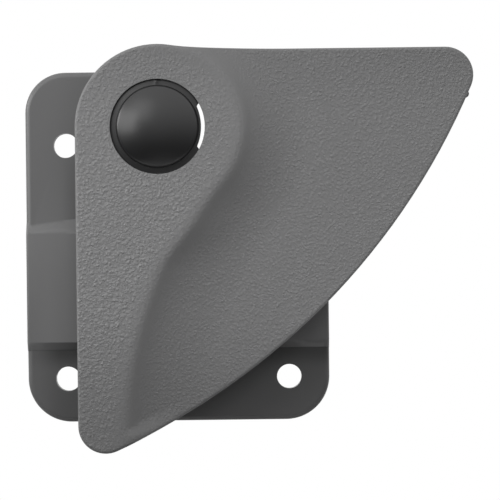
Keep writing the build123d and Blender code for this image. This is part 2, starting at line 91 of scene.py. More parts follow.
class NodeSheet:
    """Short calls that add nodes to one node tree and join them."""

    def __init__(self, tree: bpy.types.NodeTree) -> None:
        """Keeps the tree.

        Args:
            tree: The node tree that the calls write to.
        """
        self.tree = tree

    def feed(self, socket: bpy.types.NodeSocket, value: object) -> None:
        """Gives an input a value, or a link where the value is another node's output.

        Args:
            socket: The input.
            value: A number, a tuple or an output socket.
        """
        if isinstance(value, bpy.types.NodeSocket):
            self.tree.links.new(value, socket)
        else:
            socket.default_value = value

    def add(
        self, kind: str, inputs: dict[str, object] | None = None, **settings: object
    ) -> bpy.types.Node:
        """Adds a node.

        Args:
            kind: The node's type.
            inputs: Values or links, by the input's name.
            **settings: The node's own properties.

        Returns:
            The new node.
        """
        node = self.tree.nodes.new(kind)
        for name, value in settings.items():
            setattr(node, name, value)
        for name, value in (inputs or {}).items():
            self.feed(node.inputs[name], value)
        return node

    def math(self, operation: str, *values: object) -> bpy.types.NodeSocket:
        """Adds a Math node.

        Args:
            operation: The node's operation.
            *values: Its inputs, in order.

        Returns:
            Its output.
        """
        node = self.add("ShaderNodeMath", operation=operation)
        for socket, value in zip(node.inputs, values):
            self.feed(socket, value)
        return node.outputs[0]

    def vector(self, operation: str, *values: object, **named: object) -> bpy.types.NodeSocket:
        """Adds a Vector Math node.

        Args:
            operation: The node's operation.
            *values: Its inputs, in order.
            **named: Inputs by name.

        Returns:
            Its vector output.
        """
        node = self.add("ShaderNodeVectorMath", named, operation=operation)
        for socket, value in zip(node.inputs, values):
            self.feed(socket, value)
        return node.outputs["Vector"]

    def span(
        self, value: object, low: float, high: float, to_low: float, to_high: float
    ) -> bpy.types.NodeSocket:
        """Maps a range of values smoothly onto another.

        Args:
            value: What is mapped.
            low: Where the range starts.
            high: Where the range ends.
            to_low: The result at its start.
            to_high: The result at its end.

        Returns:
            The mapped value.
        """
        inputs = {
            "Value": value,
            "From Min": low,
            "From Max": high,
            "To Min": to_low,
            "To Max": to_high,
        }
        node = self.add("ShaderNodeMapRange", inputs, interpolation_type="SMOOTHSTEP")
        return node.outputs["Result"]

    def mix(self, factor: object, first: object, second: object) -> bpy.types.NodeSocket:
        """Mixes two numbers.

        Args:
            factor: 0 gives the first number and 1 the second.
            first: A number or a link.
            second: A number or a link.

        Returns:
            The mixed number.
        """
        inputs = {"Factor": factor, "A": first, "B": second}
        return self.add("ShaderNodeMix", inputs, data_type="FLOAT").outputs["Result"]

    def bump(self, height: bpy.types.NodeSocket, relief: float) -> bpy.types.NodeSocket:
        """Turns a height into a normal.

        Args:
            height: The height, about 0 to 1.
            relief: What a height of 1 stands for, in metres.

        Returns:
            The normal.
        """
        inputs = {"Strength": 1.0, "Distance": relief, "Height": height}
        return self.add("ShaderNodeBump", inputs).outputs["Normal"]

    def parts(self, point: bpy.types.NodeSocket) -> bpy.types.NodeOutputs:
        """A point's X, Y and Z, each an output of its own."""
        return self.add("ShaderNodeSeparateXYZ", {"Vector": point}).outputs

    def object_point(self) -> bpy.types.NodeSocket:
        """The shaded point in the piece's own coordinates, in metres."""
        return self.add("ShaderNodeTexCoord").outputs["Object"]


class EffectGroup:
    """A shader effect that several finishes share, as a node group that is made once."""

    name = ""
    inputs: tuple[tuple[str, str, object], ...] = ()
    outputs: tuple[tuple[str, str], ...] = ()

    def tree(self) -> bpy.types.NodeTree:
        """Makes the group the first time, and finds it again after that.

        Returns:
            The group's node tree.
        """
        found = bpy.data.node_groups.get(self.name)
        if found:
            return found
        tree = bpy.data.node_groups.new(self.name, "ShaderNodeTree")
        for name, kind, value in self.inputs:
            socket = tree.interface.new_socket(name, in_out="INPUT", socket_type=kind)
            if value is not None:
                socket.default_value = value
        for name, kind in self.outputs:
            tree.interface.new_socket(name, in_out="OUTPUT", socket_type=kind)
        sheet = NodeSheet(tree)
        source = sheet.add("NodeGroupInput")
        self.draw(sheet, source.outputs, sheet.add("NodeGroupOutput").inputs)
        return tree

    def draw(self, sheet: NodeSheet, given: bpy.types.NodeOutputs, made: bpy.types.NodeInputs) -> None:
        """Fills the group.

        Args:
            sheet: The group's tree.
            given: What the group is given.
            made: What the group puts out.
        """
        raise NotImplementedError

    def place(self, sheet: NodeSheet, **values: object) -> bpy.types.Node:
        """Places the group in a material.

        Args:
            sheet: The material's tree.
            **values: The group's inputs, with _ for a blank.

        Returns:
            The group node.
        """
        node = sheet.add("ShaderNodeGroup", node_tree=self.tree())
        for name, value in values.items():
            sheet.feed(node.inputs[name.replace("_", " ")], value)
        return node


class PebbleGrain(EffectGroup):
    """The etched grain of a mould: soft raised pebbles of uneven size, and smaller ones between them.

    Its own sizes are given in pebbles.
    """

    name = "pebble_grain"
    inputs = (("Point", "NodeSocketVector", None), ("Pebble Size", "NodeSocketFloat", 1.0 * MM))
    outputs = (("Height", "NodeSocketFloat"),)

    WARP = 0.6
    WARPS_TO_A_PEBBLE = 1.3
    SMALL_TO_A_PEBBLE = 1.9
    SMALL_SHARE = 0.35
    SWELLS_TO_A_PEBBLE = 0.45
    LEAST_SWELL = 0.6
    CELL_RADIUS = 0.75

    def draw(self, sheet: NodeSheet, given: bpy.types.NodeOutputs, made: bpy.types.NodeInputs) -> None:
        """Warps the point by a noise, then lays two sizes of rounded cells over each other.

        Args:
            sheet: The group's tree.
            given: Point and Pebble Size.
            made: Height, about 0 to 1.
        """
        per_pebble = sheet.math("DIVIDE", 1.0, given["Pebble Size"])
        scaled = sheet.vector("SCALE", given["Point"], Scale=per_pebble)
        drift = self.noise(sheet, scaled, self.WARPS_TO_A_PEBBLE)
        centred = sheet.vector("SUBTRACT", drift["Color"], (0.5, 0.5, 0.5))
        warped = sheet.vector("ADD", scaled, sheet.vector("SCALE", centred, Scale=self.WARP))
        large = self.cells(sheet, warped, 1.0)
        small = self.cells(sheet, warped, self.SMALL_TO_A_PEBBLE)
        swell = self.noise(sheet, scaled, self.SWELLS_TO_A_PEBBLE)
        uneven = sheet.span(swell["Fac"], *NOISE_SPAN, self.LEAST_SWELL, 1.0)
        rest = sheet.math("MULTIPLY", large, 1.0 - self.SMALL_SHARE)
        both = sheet.math("MULTIPLY_ADD", small, self.SMALL_SHARE, rest)
        sheet.feed(made["Height"], sheet.math("MULTIPLY", both, uneven))

    def noise(
        self, sheet: NodeSheet, point: bpy.types.NodeSocket, scale: float
    ) -> bpy.types.NodeOutputs:
        """A soft noise.

        Args:
            sheet: The group's tree.
            point: Where the noise is read.
            scale: How many swells there are to a unit.

        Returns:
            Its outputs.
        """
        inputs = {"Vector": point, "Scale": scale, "Detail": 2.0}
        return sheet.add("ShaderNodeTexNoise", inputs).outputs

    def cells(
        self, sheet: NodeSheet, point: bpy.types.NodeSocket, scale: float
    ) -> bpy.types.NodeSocket:
        """Rounded cells.

        Args:
            sheet: The group's tree.
            point: Where the cells are read.
            scale: How many cells there are to a unit.

        Returns:
            1 at the middle of a cell, falling to 0 at its edge.
        """
        node = sheet.add("ShaderNodeTexVoronoi", {"Vector": point, "Scale": scale}, feature="F1")
        return sheet.span(node.outputs["Distance"], 0.0, self.CELL_RADIUS, 1.0, 0.0)


class ToneDrift(EffectGroup):
    """Slow changes of tone across a moulding, as its colour flowed and cooled."""

    name = "tone_drift"
    inputs = (
        ("Point", "NodeSocketVector", None),
        ("Tone", "NodeSocketColor", (0.2, 0.2, 0.2, 1.0)),
        ("Patch Size", "NodeSocketFloat", 20.0 * MM),
        ("Amount", "NodeSocketFloat", 0.05),
    )
    outputs = (("Tone", "NodeSocketColor"), ("Patch", "NodeSocketFloat"))

    def draw(self, sheet: NodeSheet, given: bpy.types.NodeOutputs, made: bpy.types.NodeInputs) -> None:
        """Lightens and darkens the tone by a slow noise.

        Args:
            sheet: The group's tree.
            given: Point, Tone, Patch Size and Amount.
            made: Tone, and the Patch value from 0 to 1.
        """
        per_patch = sheet.math("DIVIDE", 1.0, given["Patch Size"])
        inputs = {"Vector": given["Point"], "Scale": per_patch, "Detail": 3.0}
        noise = sheet.add("ShaderNodeTexNoise", inputs)
        level = sheet.math("MULTIPLY_ADD", noise.outputs["Fac"], 2.0, -1.0)
        factor = sheet.math("MULTIPLY_ADD", level, given["Amount"], 1.0)
        sheet.feed(made["Tone"], sheet.vector("SCALE", given["Tone"], Scale=factor))
        sheet.feed(made["Patch"], noise.outputs["Fac"])


class MouldSkin(EffectGroup):
    """The fine unevenness of a smooth moulded face, drawn out the way that the plastic flowed."""

    name = "mould_skin"
    inputs = (
        ("Point", "NodeSocketVector", None),
        ("Ripple Size", "NodeSocketFloat", 2.0 * MM),
        ("Flow", "NodeSocketVector", (1.0, 1.0, 1.0)),
    )
    outputs = (("Height", "NodeSocketFloat"),)

    def draw(self, sheet: NodeSheet, given: bpy.types.NodeOutputs, made: bpy.types.NodeInputs) -> None:
        """A slow ripple with a little fine noise on it.

        Args:
            sheet: The group's tree.
            given: Point, Ripple Size, and Flow, which is small along the way of the flow.
            made: Height, about 0 to 1.
        """
        per_ripple = sheet.math("DIVIDE", 1.0, given["Ripple Size"])
        drawn = sheet.vector("MULTIPLY", given["Point"], given["Flow"])
        inputs = {"Vector": drawn, "Scale": per_ripple, "Detail": 4.0, "Roughness": 0.55}
        ripple = sheet.add("ShaderNodeTexNoise", inputs)
        sheet.feed(made["Height"], ripple.outputs["Fac"])


@dataclass(frozen=True)
class Finish:
    """What every finish has: a name, a tone and a shader that its own nodes feed."""

    name: str
    tone: tuple[float, float, float]

    def material(self) -> bpy.types.Material:
        """Makes the material.

        Returns:
            The finished material.
        """
        made = bpy.data.materials.new(self.name)
        made.use_nodes = True
        made.node_tree.nodes.clear()
        sheet = NodeSheet(made.node_tree)
        shader = sheet.add("ShaderNodeBsdfPrincipled")
        sheet.add("ShaderNodeOutputMaterial", {"Surface": shader.outputs[0]})
        self.dress(sheet, shader.inputs)
        return made

    def dress(self, sheet: NodeSheet, shader: bpy.types.NodeInputs) -> None:
        """Joins the finish's nodes to the shader.

        Args:
            sheet: The material's tree.
            shader: The shader's inputs.
        """
        raise NotImplementedError

    def drifted(
        self, sheet: NodeSheet, point: bpy.types.NodeSocket, patch: float, amount: float
    ) -> bpy.types.NodeOutputs:
        """The finish's tone with slow changes across it.

        Args:
            sheet: The material's tree.
            point: The shaded point.
            patch: Size of a patch, in metres.
            amount: How far the tone goes up and down.

        Returns:
            The drifted Tone, and the Patch value.
        """
        tone = (*self.tone, 1.0)
        drift = ToneDrift().place(sheet, Point=point, Tone=tone, Patch_Size=patch, Amount=amount)
        return drift.outputs


@dataclass(frozen=True)
class GrainedPlastic(Finish):
    """The handle's plastic: coarse pebbles on the grip, finer ones on the fin, none round the edges.

    The handle is painted paler at the height of the grip's middle and darker above and below it: a
    painted falloff of light.
    """

    grip_pebble: float = 0.9 * MM
    fin_pebble: float = 0.78 * MM
    relief: float = 0.33 * MM
    fin_share: float = 0.66
    roughness: tuple[float, float] = (0.6, 0.42)
    dull_below: float = 0.8
    valley_shade: float = 0.9
    valley_below: float = 0.6
    lit_height: float = 12.0 * MM
    falloff_reach: tuple[float, float] = (20.0 * MM, 56.0 * MM)
    falloff_tone: tuple[float, float] = (1.1, 0.8)
    patch: float = 18.0 * MM
    drift: float = 0.03

    def dress(self, sheet: NodeSheet, shader: bpy.types.NodeInputs) -> None:
        """Blends the two grains by where the grip is, and fades them by the piece's own grain value.

        Args:
            sheet: The material's tree.
            shader: The shader's inputs.
        """
        point = sheet.object_point()
        grain = sheet.add("ShaderNodeAttribute", attribute_name=HandleMoulding.GRAIN).outputs["Fac"]
        grip = sheet.add("ShaderNodeAttribute", attribute_name=HandleMoulding.GRIP).outputs["Fac"]
        coarse = PebbleGrain().place(sheet, Point=point, Pebble_Size=self.grip_pebble)
        fine = PebbleGrain().place(sheet, Point=point, Pebble_Size=self.fin_pebble)
        on_fin = sheet.math("MULTIPLY", fine.outputs["Height"], self.fin_share)
        mixed = sheet.mix(grip, on_fin, coarse.outputs["Height"])
        height = sheet.math("MULTIPLY", mixed, grain)
        crest_shade = 1.0 + (1.0 - self.valley_shade) / 2
        shade = sheet.span(height, 0.0, self.valley_below, self.valley_shade, crest_shade)
        # Painted light: paler at one height, darker above and below it, as the light falls off.
        from_lit_height = sheet.math("SUBTRACT", sheet.parts(point)["Z"], self.lit_height)
        away = sheet.math("ABSOLUTE", from_lit_height)
        light_falloff = sheet.span(away, *self.falloff_reach, *self.falloff_tone)
        drift = self.drifted(sheet, point, self.patch, self.drift)
        tone = sheet.vector("SCALE", drift["Tone"], Scale=sheet.math("MULTIPLY", shade, light_falloff))
        sheet.feed(shader["Base Color"], tone)
        sheet.feed(shader["Roughness"], sheet.span(height, 0.0, self.dull_below, *self.roughness))
        sheet.feed(shader["Normal"], sheet.bump(height, self.relief))


@dataclass(frozen=True)
class SmoothPlastic(Finish):
    """A smooth moulded face: satin, with a slight ripple and a slow drift of tone."""

    ripple: float = 2.5 * MM
    relief: float = 0.01 * MM
    roughness: tuple[float, float] = (0.36, 0.46)
    patch: float = 14.0 * MM
    drift: float = 0.04
    flow: tuple[float, float, float] = (1.0, 1.0, 1.0)

    def dress(self, sheet: NodeSheet, shader: bpy.types.NodeInputs) -> None:
        """Joins the ripple to the normal, and the drift to the colour and the roughness.

        Args:
            sheet: The material's tree.
            shader: The shader's inputs.
        """
        point = sheet.object_point()
        skin = MouldSkin().place(sheet, Point=point, Ripple_Size=self.ripple, Flow=self.flow)
        drift = self.drifted(sheet, point, self.patch, self.drift)
        sheet.feed(shader["Base Color"], self.shaded(sheet, point, drift["Tone"]))
        sheet.feed(shader["Roughness"], sheet.span(drift["Patch"], *NOISE_SPAN, *self.roughness))
        sheet.feed(shader["Normal"], sheet.bump(skin.outputs["Height"], self.relief))

    def shaded(
        self, sheet: NodeSheet, point: bpy.types.NodeSocket, tone: bpy.types.NodeSocket
    ) -> bpy.types.NodeSocket:
        """Leaves the tone as it is; a finish with painted shade of its own adds it here."""
        return tone


@dataclass(frozen=True)
class PlatePlastic(SmoothPlastic):
    """The plate's plastic, with a painted shadow under the rest pad's lower wall."""

    wall_height: float = -22.6 * MM
    shadow_start: float = 0.5 * MM
    shadow_width: float = 6.0 * MM
    wall_shadow_strength: float = 0.75
    far_shadow_strength: float = 0.3
    shadow_fade_edge: tuple[float, float] = (-37.5 * MM, -30.0 * MM)
    edge_shadow_share: float = 0.35

    def shaded(
        self, sheet: NodeSheet, point: bpy.types.NodeSocket, tone: bpy.types.NodeSocket
    ) -> bpy.types.NodeSocket:
        """Paints the wall's shadow: darkens a band below the wall, which fades downwards and towards
        the plate's left edge.

        Args:
            sheet: The material's tree.
            point: The shaded point.
            tone: The drifted tone.

        Returns:
            The tone with the painted shadow.
        """
        # Painted shadow: a band below the rest pad's wall is darkened, less towards the plate's left
        # edge.
        place = sheet.parts(point)
        low, high = self.wall_height - self.shadow_width, self.wall_height - self.shadow_start
        below = sheet.math("LESS_THAN", place["Z"], self.wall_height)
        band = sheet.span(place["Z"], low, high, self.far_shadow_strength, self.wall_shadow_strength)
        across = sheet.span(place["X"], *self.shadow_fade_edge, self.edge_shadow_share, 1.0)
        painted_shadow = sheet.math("MULTIPLY", below, sheet.math("MULTIPLY", band, across))
        return sheet.vector("SCALE", tone, Scale=sheet.math("SUBTRACT", 1.0, painted_shadow))


@dataclass(frozen=True)
class PressedSteel(Finish):
    """Stainless steel as pressed or turned: fine lines round the pivot."""

    line: float = 0.22 * MM
    relief: float = 0.006 * MM
    roughness: tuple[float, float] = (0.24, 0.42)
    patch: float = 6.0 * MM
    drift: float = 0.08
    pivot: tuple[float, float] = (0.0, 0.0)

    def dress(self, sheet: NodeSheet, shader: bpy.types.NodeInputs) -> None:
        """Reads a noise by the distance from the pivot's axis, which draws rings about it.

        Args:
            sheet: The material's tree.
            shader: The shader's inputs.
        """
        point = sheet.object_point()
        to_pivot = (-self.pivot[0], 0.0, -self.pivot[1])
        centred = sheet.add("ShaderNodeMapping", {"Vector": point, "Location": to_pivot})
        place = sheet.parts(centred.outputs["Vector"])
        squares = [sheet.math("MULTIPLY", place[axis], place[axis]) for axis in ("X", "Z")]
        radius = sheet.math("SQRT", sheet.math("ADD", *squares))
        rings = sheet.add("ShaderNodeCombineXYZ", {"X": radius}).outputs["Vector"]
        inputs = {"Vector": rings, "Scale": 1 / self.line, "Detail": 2.0}
        lines = sheet.add("ShaderNodeTexNoise", inputs)
        drift = self.drifted(sheet, point, self.patch, self.drift)
        sheet.feed(shader["Base Color"], drift["Tone"])
        sheet.feed(shader["Roughness"], sheet.span(drift["Patch"], *NOISE_SPAN, *self.roughness))
        sheet.feed(shader["Normal"], sheet.bump(lines.outputs["Fac"], self.relief))
        shader["Metallic"].default_value = 1.0


@dataclass
class Moulding:
    """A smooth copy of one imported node's mesh, which is dressed and takes the node's place."""

    node: str
    name: str
    body: Body
    slot: Slot
    finish: Finish
    weld: float = 0.002 * MM
    crease: float = math.radians(33)
    flat_weight: int = 80

    def build(self) -> bpy.types.Object:
        """Merges, refines and shades the copy.

        Returns:
            The new piece.
        """
        form = bmesh.new()
        form.from_mesh(frame["nodes"][self.node].data)
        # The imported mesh's own corner normals would show its facets, so they go.
        for layer in list(form.loops.layers.float_vector.values()):
            form.loops.layers.float_vector.remove(layer)
        bmesh.ops.remove_doubles(form, verts=form.verts, dist=self.weld)
        bmesh.ops.dissolve_degenerate(form, edges=form.edges, dist=self.weld)
        self.refine(form)
        for face in form.faces:
            face.smooth = True
            face.material_index = 0
        for edge in form.edges:
            edge.smooth = len(edge.link_faces) == 2 and edge.calc_face_angle(0.0) < self.crease
        mesh = bpy.data.meshes.new(self.name)
        form.to_mesh(mesh)
        form.free()
        piece = bpy.data.objects.new(self.name, mesh)
        bpy.context.scene.collection.objects.link(piece)
        mesh.materials.append(self.finish.material())
        flats = piece.modifiers.new("even_flats", "WEIGHTED_NORMAL")
        flats.keep_sharp = True
        flats.weight = self.flat_weight
        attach(piece, self.body.value)
        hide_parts(self.node)
        log.info("%s: %d faces", self.name, len(mesh.polygons))
        return piece

    def refine(self, form: bmesh.types.BMesh) -> None:
        """Changes nothing; a piece that needs more points or values says so in its own class."""


@dataclass
class HubMoulding(Moulding):
    """A moulding that is shaped about the hub's axis."""

    hub: tuple[float, float] = (0.0, 0.0)

    def from_hub(self, vertex: bmesh.types.BMVert) -> Vector:
        """A point's place across and up the door, from the hub's axis."""
        return Vector((vertex.co.x - self.hub[0], vertex.co.z - self.hub[1]))


@dataclass
class HandleMoulding(HubMoulding):
    """The handle: its front is sliced finely, its ridge rounded off and its grip drawn in at the waist.

    A pair of sizes is where a smooth change starts and where it ends. Distances from the ridge and from
    the belly are seen from the front; heights are up the door.
    """

    GRAIN = "grain"
    GRIP = "grip"

    pitch: float = 1.0 * MM
    boss_outline: float = 20.4 * MM
    tip_outline: float = 6.8 * MM
    overhang: float = 0.85 * MM
    flank_radius: float = 100.0 * MM
    grip_reach: float = 80.7 * MM
    fin_tip: tuple[float, float] = (72.2 * MM, 12.7 * MM)
    belly_radius: float = 175.0 * MM
    fin_depth: float = 18.5 * MM
    grip_depth: float = 28.0 * MM
    cove_width: float = 17.5 * MM
    ridge_radius: float = 1.5 * MM
    worn_radius: float = 3.8 * MM
    worn_depth: float = 17.5 * MM
    worn_facing: tuple[float, float] = (0.2, 0.5)
    front_facing: float = 0.05
    grain_facing: tuple[float, float] = (0.5, 0.95)
    grip_edge: tuple[float, float] = (-0.5 * MM, 1.5 * MM)
    boss_top: tuple[float, float] = (-8.0 * MM, 2.0 * MM)
    tip_side: tuple[float, float] = (-2.0 * MM, 3.0 * MM)
    used_height: float = -2.0 * MM
    used_reach: tuple[float, float] = (16.0 * MM, 36.0 * MM)
    unused_loss: float = 0.36
    bare_band: tuple[float, float] = (1.5 * MM, 5.5 * MM)
    bare_loss: float = 0.62
    waist: float = 2.1 * MM
    waist_top: tuple[float, float] = (-2.0 * MM, 10.0 * MM)
    waist_foot: tuple[float, float] = (-47.5 * MM, -41.0 * MM)
    waist_inside: tuple[float, float] = (2.0 * MM, 9.0 * MM)
    waist_outside: tuple[float, float] = (3.0 * MM, 16.0 * MM)
    waist_belly: tuple[float, float] = (0.3 * MM, 3.0 * MM)
    tip: Vector = field(init=False, repr=False)
    flank: Vector = field(init=False, repr=False)
    belly: Vector = field(init=False, repr=False)

    def __post_init__(self) -> None:
        """Finds the centres of the circles that the ridge and the belly follow, from the hub's axis."""
        self.tip = Vector((self.tip_outline - self.boss_outline, self.tip_outline - self.grip_reach))
        from_boss = self.flank_radius + self.boss_outline
        from_tip = self.flank_radius + self.tip_outline
        self.flank = tangent_centre(Vector((0.0, 0.0)), self.tip, from_boss, from_tip)
        reach = self.belly_radius - self.tip_outline
        self.belly = tangent_centre(self.tip, Vector(self.fin_tip), reach, reach)

    def from_ridge(self, flat: Vector) -> float:
        """How far a point is outside the ridge between the grip and the fin, seen from the front.

        Args:
            flat: The point, from the hub's axis.

        Returns:
            The distance, below 0 on the grip.
        """
        if (flat - self.tip).cross(self.flank - self.tip) > 0:
            return (flat - self.tip).length - self.tip_outline - self.overhang
        if flat.cross(self.flank) > 0:
            return self.flank_radius - self.overhang - (flat - self.flank).length
        return flat.length - self.boss_outline - self.overhang

    def beside_ridge(self, flat: Vector) -> float:
        """Whether a point lies on the side where the ridge is, and not on the boss's or the tip's left.

        Args:
            flat: The point, from the hub's axis.

        Returns:
            A number from 0 to 1.
        """
        if flat.y > 0:
            return smooth_step(flat.x, *self.boss_top)
        if flat.y < self.tip.y + self.tip_outline:
            return smooth_step(flat.x - self.tip.x, *self.tip_side)
        return 1.0

    def drop(self, outside: float, radius: float) -> float:
        """How far the front lies behind the grip's face at a distance outside the ridge.

        Args:
            outside: The distance.
            radius: How round the ridge is.

        Returns:
            The drop, from 0 on the grip to its whole height at the cove's toe.
        """
        height = self.grip_depth - self.fin_depth
        cove = (self.cove_width**2 + height**2) / (2 * height)
        start = self.cove_width - math.sqrt((cove + radius) ** 2 - (radius + cove - height) ** 2)
        touch = self.cove_width - (self.cove_width - start) * cove / (cove + radius)
        if outside <= start:
            return 0.0
        if outside < touch:
            return radius - math.sqrt(radius**2 - (outside - start) ** 2)
        return height - cove + math.sqrt(cove**2 - max(0.0, self.cove_width - outside) ** 2)

    def refine(self, form: bmesh.types.BMesh) -> None:
        """Slices the front both ways, then shapes it and writes the grain and grip values.

        Args:
            form: The merged copy.
        """
        low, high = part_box(self.node)
        for axis in (Vector((1, 0, 0)), Vector((0, 0, 1))):
            start, end = low.dot(axis), high.dot(axis)
            count = int((end - start) / self.pitch)
            for index in range(1, count + 1):
                self.cut(form, axis, start + index * self.pitch)
        form.normal_update()
        self.shape_front(form)

    def cut(self, form: bmesh.types.BMesh, axis: Vector, level: float) -> None:
        """Cuts those front faces that a plane crosses.

        Args:
            form: The merged copy.
            axis: The way that the plane faces.
            level: Where the plane is, that way.
        """
        crossed = []
        for face in form.faces:
            if face.normal.y < -self.front_facing:
                levels = [vertex.co.dot(axis) for vertex in face.verts]
                if min(levels) < level < max(levels):
                    crossed.append(face)
        edges = list(dict.fromkeys(edge for face in crossed for edge in face.edges))
        vertices = list(dict.fromkeys(vertex for face in crossed for vertex in face.verts))
        geometry = crossed + edges + vertices
        place = axis * level
        bmesh.ops.bisect_plane(form, geom=geometry, dist=self.weld, plane_co=place, plane_no=axis)

    def shape_front(self, form: bmesh.types.BMesh) -> None:
        """Rounds the ridge, draws in the waist, and writes where the grip is and how strong the grain.

        Args:
            form: The sliced copy.
        """
        grain = form.verts.layers.float.new(self.GRAIN)
        grip = form.verts.layers.float.new(self.GRIP)
        for vertex in form.verts:
            facing = -vertex.normal.y
            flat = self.from_hub(vertex)
            outside = self.from_ridge(flat)
            beside = self.beside_ridge(flat)
            on_grip = 1.0 - beside * smooth_step(outside, *self.grip_edge)
            bare = beside * (1.0 - smooth_step(-outside, *self.bare_band))
            unused = smooth_step(abs(vertex.co.z - self.used_height), *self.used_reach)
            kept = (1.0 - self.unused_loss * unused) * (1.0 - self.bare_loss * bare)
            strength = on_grip * kept + 1.0 - on_grip
            vertex[grip] = on_grip
            vertex[grain] = smooth_step(facing, *self.grain_facing) * strength
            if facing > self.worn_facing[0] and -vertex.co.y > self.worn_depth:
                share = beside * smooth_step(facing, *self.worn_facing)
                new_drop = self.drop(outside, self.worn_radius)
                vertex.co.y += share * (new_drop - self.drop(outside, self.ridge_radius))
                vertex.co.x -= share * self.draw_in(flat, vertex.co.z, outside)

    def draw_in(self, flat: Vector, height: float, outside: float) -> float:
        """How far the front is drawn to the left where the grip narrows.

        Args:
            flat: The point, from the hub's axis.
            height: Its height up the door.
            outside: Its distance outside the ridge.

        Returns:
            The distance.
        """
        along = smooth_step(height, *self.waist_foot) * (1.0 - smooth_step(height, *self.waist_top))
        inside = 1.0 - smooth_step(-outside, *self.waist_inside)
        beyond = 1.0 - smooth_step(outside, *self.waist_outside)
        from_belly = self.belly_radius - (flat - self.belly).length
        return self.waist * along * inside * beyond * smooth_step(from_belly, *self.waist_belly)


@dataclass
class CapMoulding(HubMoulding):
    """The cap: its flange slopes back and fills the hub's mouth, and its pry notch is a crescent.

    Two places that lie less than a hair apart count as one.
    """

    hair: float = 0.01 * MM
    flange_front: float = 27.4 * MM
    flange_back: float = 26.0 * MM
    flange_radius: float = 11.6 * MM
    dome_radius: float = 10.66 * MM
    mouth_radius: float = 11.75 * MM
    dome_scale: float = 0.96
    slope: float = 0.25 * MM
    notch_turn: float = math.radians(30)
    notch_floor: float = 10.8 * MM
    notch_floor_radius: float = 12.6 * MM
    notch_corner: float = math.radians(2.2)
    notch_end: float = math.radians(1.6)
    lip_past_notch: float = math.radians(1)
    lip_in_dome: float = 0.2 * MM
    lip_steps: int = 60

    def refine(self, form: bmesh.types.BMesh) -> None:
        """Slopes the flange, narrows the dome and lays a lip along the notch.

        Args:
            form: The merged copy.
        """
        for vertex in form.verts:
            flat = self.from_hub(vertex)
            in_front = -vertex.co.y > self.flange_front - self.hair
            on_rim = flat.length > self.flange_radius - 2 * self.hair
            if in_front and flat.length < self.dome_radius + 2 * self.hair:
                self.set_radius(vertex, flat, flat.length * self.dome_scale)
            elif on_rim and -vertex.co.y > self.flange_back - self.hair:
                self.set_radius(vertex, flat, self.mouth_radius - self.hair)
                if in_front:
                    vertex.co.y += self.slope
        self.lay_lip(form)

    def set_radius(self, vertex: bmesh.types.BMVert, flat: Vector, radius: float) -> None:
        """Moves a point straight away from the hub's axis, to a radius.

        Args:
            vertex: The point.
            flat: Its place now, from the hub's axis.
            radius: Its distance from the axis afterwards.
        """
        place = flat.normalized() * radius
        vertex.co.x, vertex.co.z = self.hub[0] + place.x, self.hub[1] + place.y

    def lay_lip(self, form: bmesh.types.BMesh) -> None:
        """Spins the lip's section along the notch, then moves its outer edge to the crescent's line.

        Args:
            form: The cap.
        """
        dome = self.dome_radius * self.dome_scale
        inner = dome - self.lip_in_dome
        section = (
            (inner, self.flange_back),
            (self.flange_radius, self.flange_back),
            (self.flange_radius, self.flange_front),
            (inner, self.flange_front),
        )
        turn = self.notch_turn + self.lip_past_notch
        start = Matrix.Rotation(turn, 3, "Y")
        centre = Vector((self.hub[0], 0.0, self.hub[1]))
        before = set(form.verts)
        places = [centre + start @ Vector((radius, -depth, 0.0)) for radius, depth in section]
        end = form.faces.new([form.verts.new(place) for place in places])
        geometry = [end, *end.edges, *end.verts]
        bmesh.ops.spin(
            form,
            geom=geometry,
            cent=centre,
            axis=(0, 1, 0),
            angle=-2 * turn,
            steps=self.lip_steps,
        )
        lip = [vertex for vertex in form.verts if vertex not in before]
        for vertex in lip:
            flat = self.from_hub(vertex)
            if flat.length > self.flange_radius - self.hair:
                edge = self.notch_edge(math.atan2(flat.y, flat.x))
                self.set_radius(vertex, flat, edge)
                if -vertex.co.y > self.flange_front - self.hair:
                    vertex.co.y += self.slope * (edge - dome) / (self.mouth_radius - dome)
        faces = list(dict.fromkeys(face for vertex in lip for face in vertex.link_faces))
        bmesh.ops.recalc_face_normals(form, faces=faces)

    def notch_edge(self, angle: float) -> float:
        """The crescent's inner line: a flat arc that turns out to the mouth's wall in rounded corners.

        Args:
            angle: Direction from the hub's axis.

        Returns:
            The radius there.
        """
        shift = self.notch_floor_radius - self.notch_floor
        along, aside = shift * math.cos(angle), shift * math.sin(angle)
        floor = math.sqrt(self.notch_floor_radius**2 - aside**2) - along
        inward = (self.notch_turn - self.notch_end - abs(angle)) / self.notch_corner
        if inward >= 1.0:
            return floor
        wall = self.mouth_radius - self.hair
        rise = 1.0 - math.sqrt(max(0.0, 1.0 - (1.0 - max(0.0, inward)) ** 2))
        return floor + (wall - floor) * rise


def tangent_centre(first: Vector, second: Vector, from_first: float, from_second: float) -> Vector:
    """The point at given distances from two others, left of the way from the first to the second.

    Args:
        first: The first point.
        second: The second point.
        from_first: Distance from the first.
        from_second: Distance from the second.

    Returns:
        The point.
    """
    way = second - first
    along = (from_first**2 - from_second**2 + way.length_squared) / (2 * way.length)
    ahead = way.normalized()
    return first + ahead * along + Vector((-ahead.y, ahead.x)) * math.sqrt(from_first**2 - along**2)


def smooth_step(value: float, low: float, high: float) -> float:
    """Rises smoothly from 0 at low to 1 at high.

    Args:
        value: Where the result is wanted.
        low: Where the rise starts.
        high: Where the rise ends.

    Returns:
        A number from 0 to 1.
    """
    share = min(1.0, max(0.0, (value - low) / (high - low)))
    return share * share * (3 - 2 * share)


